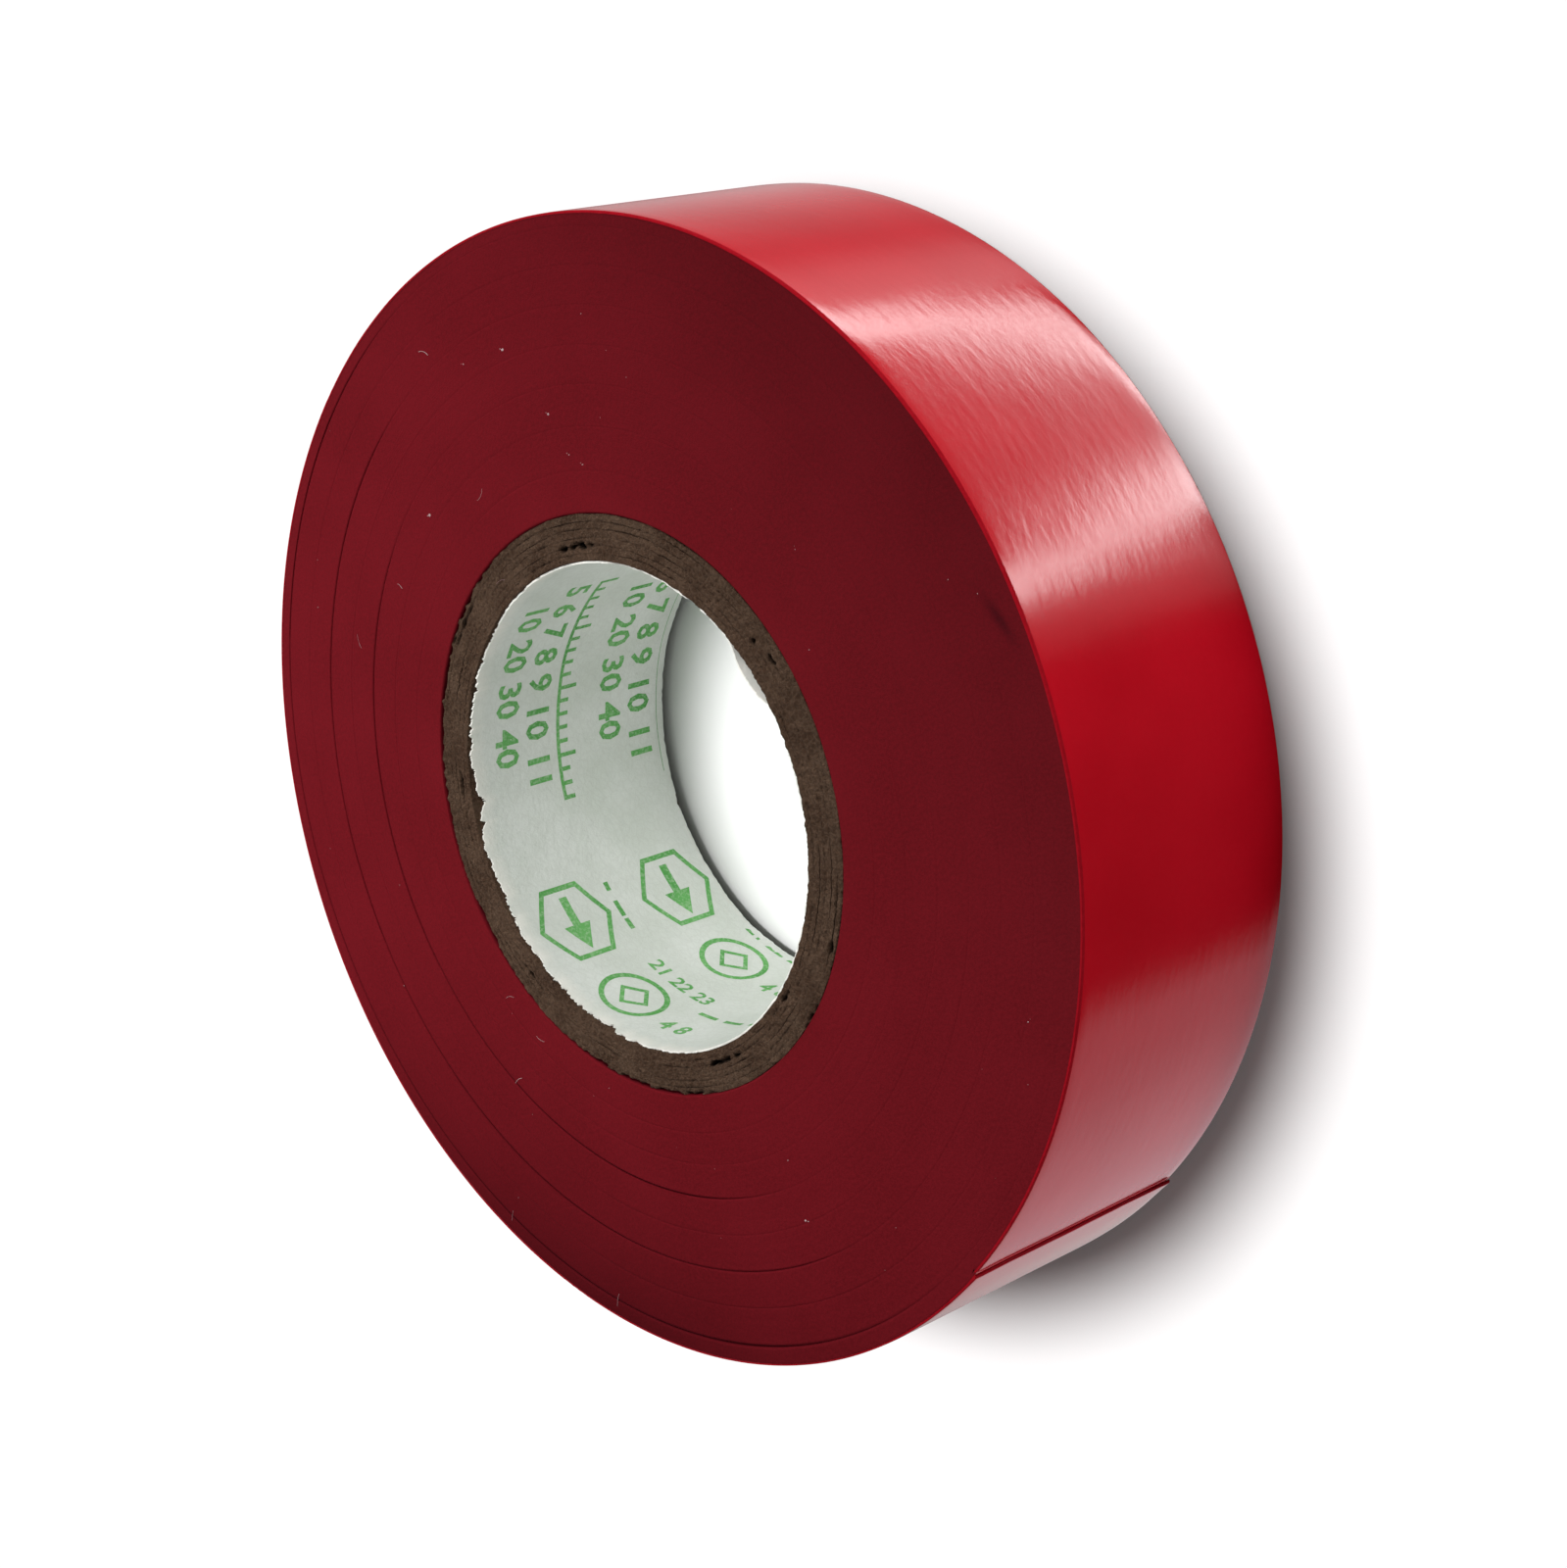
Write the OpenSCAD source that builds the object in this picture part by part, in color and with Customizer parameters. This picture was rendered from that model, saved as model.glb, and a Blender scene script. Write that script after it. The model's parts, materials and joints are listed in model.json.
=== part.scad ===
// Roll of electrical tape: adhesive film wound on a paperboard core with a printed paper liner.
// The roll lies flat. The origin is on the bore axis at the lower face, and +Z runs along the bore.
// The strip is wound anticlockwise seen from +Z, so its free end points anticlockwise too.

/* [Tape strip] */
// Width of the strip, which is the height of the roll as it lies
tape_w = 19; // [12:0.5:25]
// Thickness of the plastic film
film_t = 0.13; // [0.10:0.01:0.20]
// Thickness of the adhesive coat on the film's inner side
adhesive_t = 0.05; // [0.04:0.01:0.08]

/* [Windings] */
// Turns in the innermost band, from the core to the first winding mark
first_turns = 15; // [8:1:20]
// Turns between two neighbouring winding marks
mark_turns = 14; // [8:1:18]
// Turns from the last winding mark to the turn below the outermost one
cover_turns = 5; // [3:1:12]
// Depth and half width of the V-shaped winding mark around both faces
mark_d = 0.08; // [0.04:0.01:0.15]

/* [Core and liner] */
// Diameter of the open bore, inside the liner
bore_d = 33; // [25:0.5:40]
// Thickness of the printed paper liner
liner_t = 0.13; // [0.08:0.01:0.30]
// Thickness of one ply of paperboard
ply_t = 0.49; // [0.40:0.01:0.60]
// How far the core's lower end stands back from the lower face; its upper end is flush
core_recess = 0.6; // [0.1:0.1:1.5]
// How far the liner's ends stand back from the ends of the core
liner_recess = 0.3; // [0.1:0.1:1.0]
// Width of the butt seam where the two ends of a ply meet
ply_seam = 0.3; // [0.1:0.1:1.0]
// Width of the butt seam in the liner
liner_seam = 0.2; // [0.1:0.1:1.0]
// Direction of the liner's seam
liner_seam_a = 76; // [0:1:359]
// Angle from the seam of one ply to the seam of the next
seam_turn = 137; // [60:1:170]

/* [Free end] */
// Direction of the strip's cut end, seen from +Z
end_a = -61; // [-180:1:180]
// Angle that one stretch of the free end covers on the roll
stretch_a = 12; // [6:1:14]
// Clearance between the free end's adhesive and the turn below it
lift = 0.03; // [0.02:0.005:0.035]

/* [Hidden] */
$fn = 180;
PLY_COUNT = 6;
MARK_BANDS = 6;
TAIL_COUNT = 5;
FILM_COLOUR = [0.66, 0.04, 0.09];
FACE_COLOUR = [0.46, 0.07, 0.12];
ADHESIVE_COLOUR = [0.36, 0.03, 0.07];
BOARD_COLOUR = [0.30, 0.25, 0.20];
PAPER_COLOUR = [0.82, 0.86, 0.82];

// Strip and core radii, built up from the bore outwards
tape_t = film_t + adhesive_t;
bore_r = bore_d / 2;
board_r = bore_r + liner_t;
core_r = board_r + PLY_COUNT * ply_t;

// The turns in each band, and the radius at which a band starts
turns = concat([first_turns], [for (i = [1:MARK_BANDS]) mark_turns], [cover_turns]);
band_count = len(turns);
function turns_inside(i) = i == 0 ? 0 : turns_inside(i - 1) + turns[i - 1];
function band_r(i) = core_r + tape_t * turns_inside(i);
wound_r = band_r(band_count);

// One turn of the spiral is drawn as two half circles. The second has its centre moved towards the
// cut end by half a strip thickness, so the turn ends one thickness further out than it began.
half_step = tape_t / 2;
spiral_centre = half_step * [cos(end_a), sin(end_a), 0];
half_r = wound_r + half_step;

tail_a = TAIL_COUNT * stretch_a;
core_low = core_recess;
core_high = tape_w;
liner_low = core_low + liner_recess;
liner_high = core_high - liner_recess;

function ply_node(i) = str("core_ply_", i + 1);
function band_node(i) = str("turn_band_", i + 1);
function tail_film_node(i) = str("tail_film_", i + 1);
function tail_adhesive_node(i) = str("tail_adhesive_", i + 1);

// A plain ring from r_in to r_out between two heights
module ring(r_in, r_out, low, high) {
    rotate_extrude()
        translate([r_in, low])
            square([r_out - r_in, high - low]);
}

// A stretch of a ring that starts at one angle and sweeps anticlockwise
module arc(r_in, r_out, start_a, sweep_a) {
    rotate_extrude(angle = sweep_a, start = start_a)
        translate([r_in, 0])
            square([r_out - r_in, tape_w]);
}

// A ring cut through by one straight seam
module seamed_ring(r_in, r_out, low, high, seam, seam_a) {
    difference() {
        ring(r_in, r_out, low, high);
        rotate([0, 0, seam_a])
            translate([r_in / 2, -seam / 2, low - 1])
                cube([r_out, seam, high - low + 2]);
    }
}

// A band of turns whose outer corners are bevelled to form half of a winding mark
module marked_band(r_in, r_out) {
    rotate_extrude()
        polygon([
            [r_in, 0],
            [r_out - mark_d, 0],
            [r_out, mark_d],
            [r_out, tape_w - mark_d],
            [r_out - mark_d, tape_w],
            [r_in, tape_w]
        ]);
}

// The part of the outermost turn that stays stuck down, between two depths of its strip
module last_turn(from_t, to_t) {
    arc(wound_r + from_t, wound_r + to_t, end_a, 180);
    translate(spiral_centre)
        arc(half_r + from_t, half_r + to_t, end_a + 180, 180 - tail_a);
}

// One stretch of the free end, counted from the roll towards the cut end
module tail(i, from_t, to_t) {
    translate(spiral_centre)
        arc(half_r + from_t, half_r + to_t, end_a - tail_a + i * stretch_a, stretch_a);
}

module liner() {
    color(PAPER_COLOUR)
        seamed_ring(bore_r, board_r, liner_low, liner_high, liner_seam, liner_seam_a);
}

module core_ply(i) {
    r_in = board_r + i * ply_t;
    color(BOARD_COLOUR)
        seamed_ring(r_in, r_in + ply_t, core_low, core_high, ply_seam, liner_seam_a + (i + 1) * seam_turn);
}

module turn_band(i) {
    color(FACE_COLOUR)
        marked_band(band_r(i), band_r(i + 1));
}

// The outermost band ends in the spiral step on which the last turn starts
module cover_band() {
    color(FACE_COLOUR)
        difference() {
            union() {
                arc(core_r, wound_r, end_a, 180);
                translate(spiral_centre)
                    arc(core_r, half_r, end_a + 180, 180);
            }
            translate([0, 0, -1])
                cylinder(r = band_r(band_count - 1), h = tape_w + 2);
        }
}

module last_turn_adhesive() {
    color(ADHESIVE_COLOUR)
        last_turn(0, adhesive_t);
}

module last_turn_film() {
    color(FILM_COLOUR)
        last_turn(adhesive_t, tape_t);
}

module tail_adhesive(i) {
    color(ADHESIVE_COLOUR)
        tail(i, lift, adhesive_t);
}

module tail_film(i) {
    color(FILM_COLOUR)
        tail(i, adhesive_t, tape_t);
}

liner();
for (i = [0:PLY_COUNT - 1])
    core_ply(i);
for (i = [0:band_count - 2])
    turn_band(i);
cover_band();
last_turn_adhesive();
last_turn_film();
for (i = [0:TAIL_COUNT - 1])
    tail_adhesive(i);
for (i = [0:TAIL_COUNT - 1])
    tail_film(i);
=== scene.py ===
import json
import math
import random

import bmesh
import bpy
from mathutils import Matrix, Vector, noise

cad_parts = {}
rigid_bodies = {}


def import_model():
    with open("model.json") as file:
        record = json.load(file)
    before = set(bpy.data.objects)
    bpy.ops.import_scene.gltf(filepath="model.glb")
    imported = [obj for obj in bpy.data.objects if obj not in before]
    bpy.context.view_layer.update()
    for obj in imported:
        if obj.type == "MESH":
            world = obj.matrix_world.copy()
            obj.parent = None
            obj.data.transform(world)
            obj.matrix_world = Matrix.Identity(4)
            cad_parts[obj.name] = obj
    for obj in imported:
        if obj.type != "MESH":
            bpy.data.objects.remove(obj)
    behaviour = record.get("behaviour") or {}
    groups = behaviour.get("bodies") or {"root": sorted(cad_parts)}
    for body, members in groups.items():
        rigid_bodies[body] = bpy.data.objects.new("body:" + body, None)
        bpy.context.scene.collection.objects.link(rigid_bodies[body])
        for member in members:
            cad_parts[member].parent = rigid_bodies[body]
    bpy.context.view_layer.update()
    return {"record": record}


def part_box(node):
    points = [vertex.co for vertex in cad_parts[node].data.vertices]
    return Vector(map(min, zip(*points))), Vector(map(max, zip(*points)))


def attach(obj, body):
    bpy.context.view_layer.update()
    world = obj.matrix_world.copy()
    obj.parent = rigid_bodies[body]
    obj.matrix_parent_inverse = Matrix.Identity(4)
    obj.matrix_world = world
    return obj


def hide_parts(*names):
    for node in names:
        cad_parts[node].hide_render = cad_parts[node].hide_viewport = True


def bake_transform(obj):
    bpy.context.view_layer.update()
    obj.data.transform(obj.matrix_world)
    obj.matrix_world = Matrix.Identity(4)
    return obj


# A roll of red electrical tape, lying flat: the printed liner, the paperboard core,
# the wound strip, and its free end that peels off.

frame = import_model()
random.seed(7)

# ---------------------------------------------------------------- sizes, in metres
MM = 0.001
FILM_T = 0.13 * MM
ADHESIVE_T = 0.05 * MM
TAPE_T = FILM_T + ADHESIVE_T
# Where the strip's cut end lies, and how much of the roll one stretch of the free end covers
END_A = math.radians(-61)
STRETCH_A = math.radians(12)
TAIL_COUNT = 5
# The free end, and the half stretch before its first hinge
TAIL_A = STRETCH_A * (TAIL_COUNT + 0.5)
PLY_COUNT = 6
BAND_COUNT = 8

ROLL_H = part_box("last_turn_film")[1].z
WOUND_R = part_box("last_turn_film")[1].x - TAPE_T
# The second half of the outermost turn is a half circle about a shifted centre, to make the spiral's step
HALF_STEP = TAPE_T / 2
HALF_R = WOUND_R + HALF_STEP
SPIRAL_CENTRE = Vector((math.cos(END_A), math.sin(END_A), 0)) * HALF_STEP
BORE = next(m for m in frame["record"]["mounts"] if m["name"] == "bore")
BORE_R = BORE["dims"]["r_mm"] * MM
BOARD_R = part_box("liner")[1].x
PLY_R = [BOARD_R] + [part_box(f"core_ply_{i + 1}")[1].x for i in range(PLY_COUNT)]
BAND_R = [PLY_R[-1]] + [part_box(f"turn_band_{i + 1}")[1].x for i in range(BAND_COUNT - 1)] + [WOUND_R]
CORE_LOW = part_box("core_ply_1")[0].z
LINER_LOW, LINER_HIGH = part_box("liner")[0].z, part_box("liner")[1].z

# How much lower than the CAD face plane the wound edges lie
FACE_INSET = 0.035 * MM
# Radius of the strip's upper edge
RIM_ROUND = 0.06 * MM
# How far the core, the bore and the middle windings lie off centre, in mm along x and y
CORE_OFF = (-0.38, -0.26)
BORE_OFF = (-0.16, -0.12)
MIDDLE_OFF = (0.0, 0.26)
# Between these radii the windings pass from the core's stray to the middle's, and from that to none
LEAVE_CORE = (21 * MM, 27 * MM)
LEAVE_MIDDLE = (36.6 * MM, 38.0 * MM)
# The matt cut edge of the strip shows this far down from the upper face, and up from the lower one
CUT_SHOWN = 0.18 * MM
CUT_SHOWN_LOW = 0.02 * MM
# A face of the strip that looks along it by more than this share is the end of the strip
END_FACING = 0.3
# Half the width of a winding mark
MARK_W = 0.10 * MM
# A ring is spun as this many equal sectors, and these many steps in all
SECTORS = 24
BAND_STEPS = 720
PLY_STEPS = 1200
LINER_STEPS = 1440
# Slots of the two layers of the strip
STRIP_SLOTS = ("tape_film", "adhesive")

# ---------------------------------------------------------------- colours, linear
FILM_DEEP = (0.45, 0.0022, 0.0098, 1)
FILM_BRIGHT = (0.51, 0.0034, 0.0128, 1)
FILM_GRAIN = (0.34, 0.002, 0.007, 1)
EDGE_DEEP = (0.25, 0.0030, 0.0080, 1)
EDGE_BRIGHT = (0.31, 0.0045, 0.0115, 1)
FACE_DEEP = (0.095, 0.0033, 0.0062, 1)
FACE_BRIGHT = (0.112, 0.0042, 0.0079, 1)
FACE_GRAIN = (0.150, 0.0074, 0.0120, 1)
# painted shade for the wound face's darker zones
FACE_PAINTED_SHADE = (0.010, 0.0003, 0.0010, 1)
FACE_LINE = (0.07, 0.003, 0.006, 1)
# painted shade in the winding marks and the crease
FACE_GROOVE_SHADE = (0.022, 0.002, 0.004, 1)
BOARD_DEEP = (0.066, 0.035, 0.020, 1)
BOARD_BRIGHT = (0.112, 0.066, 0.041, 1)
BOARD_FIBRE = (0.17, 0.112, 0.076, 1)
BOARD_GRAIN = (0.038, 0.020, 0.012, 1)
# painted shade in the core's splits and open seams
BOARD_SPLIT_SHADE = (0.007, 0.005, 0.003, 1)
PAPER_DEEP = (0.62, 0.655, 0.60, 1)
PAPER_BRIGHT = (0.70, 0.725, 0.685, 1)
PAPER_FIBRE = (0.48, 0.50, 0.44, 1)
PAPER_TORN = (0.84, 0.82, 0.76, 1)
INK_DEEP = (0.085, 0.33, 0.075, 1)
INK_BRIGHT = (0.14, 0.42, 0.12, 1)
INK_THIN = (0.46, 0.62, 0.42, 1)
ADHESIVE_DEEP = (0.20, 0.006, 0.014, 1)
ADHESIVE_BRIGHT = (0.27, 0.010, 0.020, 1)
DUST_DEEP = (0.22, 0.09, 0.10, 1)
DUST_BRIGHT = (0.46, 0.34, 0.34, 1)
FLOOR_LIT = (0.56, 0.56, 0.56, 1)
FLOOR_SEEN = (0.86, 0.86, 0.86, 1)
PLAIN_LIGHT = (1, 1, 1, 1)
ROSY_LIGHT = (1, 0.82, 0.89, 1)


# ---------------------------------------------------------------- camera
CAMERA_LENS = 69.63
CAMERA_PLACE = Vector((0.15464, 0, 0.14459))
CAMERA_RIGHT = Vector((0.6411, -0.2928, -0.7094))
CAMERA_FORWARD = Vector((-0.7437, -0.0085, -0.6685))


def add_camera():
    data = bpy.data.cameras.new("camera")
    data.lens = CAMERA_LENS
    data.sensor_width = 36
    data.clip_start = 0.01
    data.clip_end = 20
    camera = bpy.data.objects.new("camera", data)
    bpy.context.scene.collection.objects.link(camera)
    right = CAMERA_RIGHT.normalized()
    forward = (CAMERA_FORWARD - right * CAMERA_FORWARD.dot(right)).normalized()
    up = right.cross(forward)
    turn = Matrix((right, up, -forward)).transposed().to_4x4()
    camera.matrix_world = Matrix.Translation(CAMERA_PLACE) @ turn
    bpy.context.scene.camera = camera


# ---------------------------------------------------------------- shape helpers
def smooth(low, high, x):
    """A smooth step from 0 at low to 1 at high."""
    t = min(1.0, max(0.0, (x - low) / (high - low)))
    return t * t * (3 - 2 * t)


def turned(a, b):
    """The angle from b to a, between minus and plus half a turn."""
    return (a - b + math.pi) % math.tau - math.pi


def polar(r, a, z):
    """The point at a radius, an angle and a height."""
    return Vector((r * math.cos(a), r * math.sin(a), z))


def off_centre(r, a):
    """How far out the windings and the core stray at a place, wound a little off centre."""
    bore = 1 - smooth(BORE_R, PLY_R[-1], r)
    outer = smooth(*LEAVE_CORE, r)
    middle = outer * (1 - smooth(*LEAVE_MIDDLE, r))
    drift = 0.0
    for share, (x, y) in ((1 - outer, CORE_OFF), (middle, MIDDLE_OFF), (bore, BORE_OFF)):
        drift += share * (x * math.cos(a) + y * math.sin(a))
    return drift * MM


def spun(outline, steps, start=0.0, sweep=math.tau, centre=Vector()):
    """A closed outline of (radius, height) points, spun about an upright axis. Open ends are capped."""
    bm = bmesh.new()
    corners = [bm.verts.new(centre + polar(r, start, z)) for r, z in outline]
    sides = [bm.edges.new(pair) for pair in zip(corners, corners[1:] + corners[:1])]
    sectors = SECTORS if steps % SECTORS == 0 else 1
    bmesh.ops.spin(bm, geom=corners + sides, cent=centre, axis=(0, 0, 1), angle=sweep / sectors,
                   steps=steps // sectors)
    if sectors > 1:
        bmesh.ops.spin(bm, geom=bm.verts[:] + bm.edges[:] + bm.faces[:], cent=centre, axis=(0, 0, 1),
                       angle=sweep - sweep / sectors, steps=sectors - 1, use_duplicate=True)
        bmesh.ops.remove_doubles(bm, verts=bm.verts, dist=0.001 * MM)
    bmesh.ops.holes_fill(bm, edges=[e for e in bm.edges if e.is_boundary], sides=0)
    bmesh.ops.recalc_face_normals(bm, faces=bm.faces)
    return bm


def reshape(bm, move, centre=Vector()):
    """Moves each vertex to the place that move(radius, angle, height) gives."""
    for v in bm.verts:
        p = v.co - centre
        v.co = centre + polar(*move(math.hypot(p.x, p.y), math.atan2(p.y, p.x), p.z))


def show_cut(mesh):
    """Gives a layer of the strip its matt cut edges: along both faces of the roll, and at its ends."""
    mesh.materials.append(EDGE)
    for face in mesh.polygons:
        along = polar(1.0, math.atan2(face.center.y, face.center.x) + math.pi / 2, 0.0)
        end = abs(face.normal.dot(along)) > END_FACING
        face.material_index = int(end or not CUT_SHOWN_LOW < face.center.z < ROLL_H - CUT_SHOWN)


def make_piece(bm, name, material, slot, body=None, replaces=(), sharp=40, dirt=None):
    """Turns a bmesh into a named object, which rides on a CAD body if one is given."""
    mesh = bpy.data.meshes.new(name)
    bm.to_mesh(mesh)
    bm.free()
    mesh.shade_smooth()
    mesh.set_sharp_from_angle(angle=math.radians(sharp))
    mesh.materials.append(material)
    if slot in STRIP_SLOTS:
        show_cut(mesh)
    if dirt:
        # A mask per point: painted shade in the grooves and splits of the wound face and core, and pale fluff
        # on the torn paper
        layer = mesh.attributes.new("dirt", "FLOAT", "POINT")
        layer.data.foreach_set("value", [
            dirt(math.hypot(v.co.x, v.co.y), math.atan2(v.co.y, v.co.x), v.co.z) for v in mesh.vertices])
    piece = bpy.data.objects.new(name, mesh)
    bpy.context.scene.collection.objects.link(piece)
    piece.visible_diffuse = slot not in STRIP_SLOTS
    if body:
        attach(piece, body)
    if replaces:
        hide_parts(*replaces)
    return piece


# ---------------------------------------------------------------- shader helpers
class Nodes:
    """Short ways to add and join nodes in one tree."""

    def __init__(self, tree):
        self.tree = tree
        tree.nodes.clear()

    def add(self, kind, values=None, **settings):
        """A node with its settings, and its inputs set to values or joined to sockets."""
        node = self.tree.nodes.new(kind)
        for key, value in settings.items():
            setattr(node, key, value)
        for key, value in (values or {}).items():
            if isinstance(value, bpy.types.NodeSocket):
                self.tree.links.new(value, node.inputs[key])
            else:
                node.inputs[key].default_value = value
        return node

    def math(self, operation, a, b=0.0):
        return self.add("ShaderNodeMath", {0: a, 1: b}, operation=operation).outputs[0]

    def plus(self, a, b):
        return self.math("ADD", a, b)

    def times(self, a, b):
        return self.math("MULTIPLY", a, b)

    def mix(self, share, a, b):
        """A colour between two others."""
        return self.add("ShaderNodeMix", {0: share, 6: a, 7: b}, data_type="RGBA").outputs[2]

    def between(self, share, a, b):
        """A number between two others."""
        return self.add("ShaderNodeMix", {0: share, 2: a, 3: b}, data_type="FLOAT").outputs[0]

    def noise(self, vector, scale, detail=3.0, roughness=0.5):
        node = self.add("ShaderNodeTexNoise", {"Vector": vector, "Scale": scale, "Detail": detail,
                                               "Roughness": roughness})
        return node.outputs[0]

    def span(self, value, low, high, to_low=0.0, to_high=1.0):
        """A smooth step from one level to another."""
        node = self.add("ShaderNodeMapRange", {0: value, 1: low, 2: high, 3: to_low, 4: to_high},
                        interpolation_type="SMOOTHSTEP")
        return node.outputs[0]

    def link(self, output, node, key):
        self.tree.links.new(output, node.inputs[key])


def new_group(name, inputs, outputs):
    """An empty node group with its sockets made."""
    tree = bpy.data.node_groups.new(name, "ShaderNodeTree")
    nodes = Nodes(tree)
    for socket, kind, value in inputs:
        made = tree.interface.new_socket(socket, in_out="INPUT", socket_type=kind)
        if value is not None:
            made.default_value = value
    for socket, kind in outputs:
        tree.interface.new_socket(socket, in_out="OUTPUT", socket_type=kind)
    return tree, nodes, nodes.add("NodeGroupInput").outputs, nodes.add("NodeGroupOutput")


def grain_group():
    """Fine grain at one size in metres with slow clouds over it: masks from 0 to 1."""
    tree, n, given, out = new_group("grain", [
        ("Vector", "NodeSocketVector", None),
        ("Size", "NodeSocketFloat", 0.2 * MM),
        ("Cloud size", "NodeSocketFloat", 6 * MM)],
        [("Grain", "NodeSocketFloat"), ("Clouds", "NodeSocketFloat")])
    fine = n.noise(given["Vector"], n.math("DIVIDE", 1.0, given["Size"]), 4.0, 0.65)
    slow = n.noise(given["Vector"], n.math("DIVIDE", 1.0, given["Cloud size"]), 3.0, 0.5)
    n.link(n.span(fine, 0.25, 0.75), out, "Grain")
    n.link(n.span(slow, 0.3, 0.7), out, "Clouds")
    return tree


def turns_group():
    """Concentric lines at the strip's pitch, wandering and fading, as a mask from 0 to 1."""
    tree, n, given, out = new_group("wound turns", [
        ("Vector", "NodeSocketVector", None),
        ("Pitch", "NodeSocketFloat", TAPE_T)],
        [("Lines", "NodeSocketFloat")])
    split = n.add("ShaderNodeSeparateXYZ", {0: given["Vector"]})
    flat = n.add("ShaderNodeCombineXYZ", {0: split.outputs[0], 1: split.outputs[1]})
    radius = n.add("ShaderNodeVectorMath", {0: flat.outputs[0]}, operation="LENGTH").outputs["Value"]
    stray = n.times(n.noise(flat.outputs[0], 260.0, 2.0), 1.6)
    phase = n.plus(n.math("DIVIDE", radius, given["Pitch"]), stray)
    wave = n.math("ABSOLUTE", n.math("SINE", n.times(phase, math.pi)))
    fade = n.span(n.noise(flat.outputs[0], 130.0, 3.0), 0.35, 0.75)
    turn = n.math("FLOOR", phase)
    each = n.add("ShaderNodeTexWhiteNoise", {"W": turn}, noise_dimensions="1D").outputs["Value"]
    deep = n.times(n.span(wave, 0.0, 0.35, 1.0, 0.0), n.times(each, fade))
    n.link(deep, out, "Lines")
    return tree


def fibres_group():
    """Short fibres lying every way, as a mask from 0 to 1, for board and paper."""
    tree, n, given, out = new_group("fibres", [
        ("Vector", "NodeSocketVector", None),
        ("Size", "NodeSocketFloat", 0.3 * MM)],
        [("Fibres", "NodeSocketFloat"), ("Pulp", "NodeSocketFloat")])
    push_by = 0.6 * MM
    bent = n.add("ShaderNodeVectorMath", {0: given["Vector"]}, operation="ADD")
    shift = n.add("ShaderNodeTexNoise", {"Vector": given["Vector"], "Scale": 900.0, "Detail": 2.0})
    push = n.add("ShaderNodeVectorMath", {0: shift.outputs[1], 1: (push_by, push_by, push_by)},
                 operation="MULTIPLY")
    n.link(push.outputs[0], bent, 1)
    cells = n.add("ShaderNodeTexVoronoi", {"Vector": bent.outputs[0],
                                           "Scale": n.math("DIVIDE", 1.0, given["Size"])},
                  feature="DISTANCE_TO_EDGE")
    n.link(n.span(cells.outputs["Distance"], 0.0, 0.18, 1.0, 0.0), out, "Fibres")
    pulp = n.noise(given["Vector"], n.math("DIVIDE", 0.6, given["Size"]), 5.0, 0.7)
    n.link(n.span(pulp, 0.3, 0.72), out, "Pulp")
    return tree


GRAIN = grain_group()
TURNS = turns_group()
FIBRES = fibres_group()


def new_material(name, **settings):
    """A material with a Principled shader, and the values that are the same all over it."""
    material = bpy.data.materials.new(name)
    material.use_nodes = True
    n = Nodes(material.node_tree)
    shader = n.add("ShaderNodeBsdfPrincipled")
    for key, value in settings.items():
        shader.inputs[key.replace("_", " ")].default_value = value
    n.link(shader.outputs[0], n.add("ShaderNodeOutputMaterial"), "Surface")
    where = n.add("ShaderNodeTexCoord").outputs["Object"]
    return material, n, shader, where


def use(n, group, values):
    """Places a node group in a tree, and gives its outputs."""
    return n.add("ShaderNodeGroup", values, node_tree=group).outputs


def bump(n, shader, height, distance, strength=1.0, below=None):
    """A bump on a shader, over another one if that is given."""
    values = {"Height": height, "Distance": distance, "Strength": strength}
    if below:
        values["Normal"] = below
    normal = n.add("ShaderNodeBump", values).outputs[0]
    n.link(normal, shader, "Normal")
    return normal


# ---------------------------------------------------------------- finishes
def film_finish():
    material, n, shader, where = new_material("vinyl film", IOR=1.5, Coat_Weight=0.0)
    grain = use(n, GRAIN, {"Vector": where, "Size": 0.35 * MM, "Cloud size": 12 * MM})
    drawn = n.add("ShaderNodeVectorMath", {0: where, 1: (1.0, 1.0, 3.0)}, operation="MULTIPLY").outputs[0]
    streaks = n.noise(drawn, 520.0, 3.0, 0.45)
    peel = n.noise(where, 3600.0, 3.0, 0.6)
    red = n.mix(grain["Clouds"], FILM_DEEP, FILM_BRIGHT)
    red = n.mix(n.times(grain["Grain"], 0.14), red, FILM_GRAIN)
    n.link(red, shader, "Base Color")
    n.link(n.span(peel, 0.2, 0.8, 0.11, 0.16), shader, "Roughness")
    skin = bump(n, shader, streaks, 0.0074 * MM)
    bump(n, shader, peel, 0.004 * MM, 0.6, skin)
    return material


def edge_finish():
    """The cut edge of the outermost turn: the film's red with no gloss."""
    material, n, shader, where = new_material("cut edge of the film", Roughness=0.8, Specular_IOR_Level=0.02)
    grain = use(n, GRAIN, {"Vector": where, "Size": 0.3 * MM, "Cloud size": 9 * MM})
    n.link(n.mix(grain["Grain"], EDGE_DEEP, EDGE_BRIGHT), shader, "Base Color")
    return material


# Zones of painted shade on the wound face, where its sheen falls off: angle in degrees, how narrow, how dark
PAINTED_SHADE_ZONES = ((-122, 5, 0.56), (35, 3, 0.30))


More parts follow.
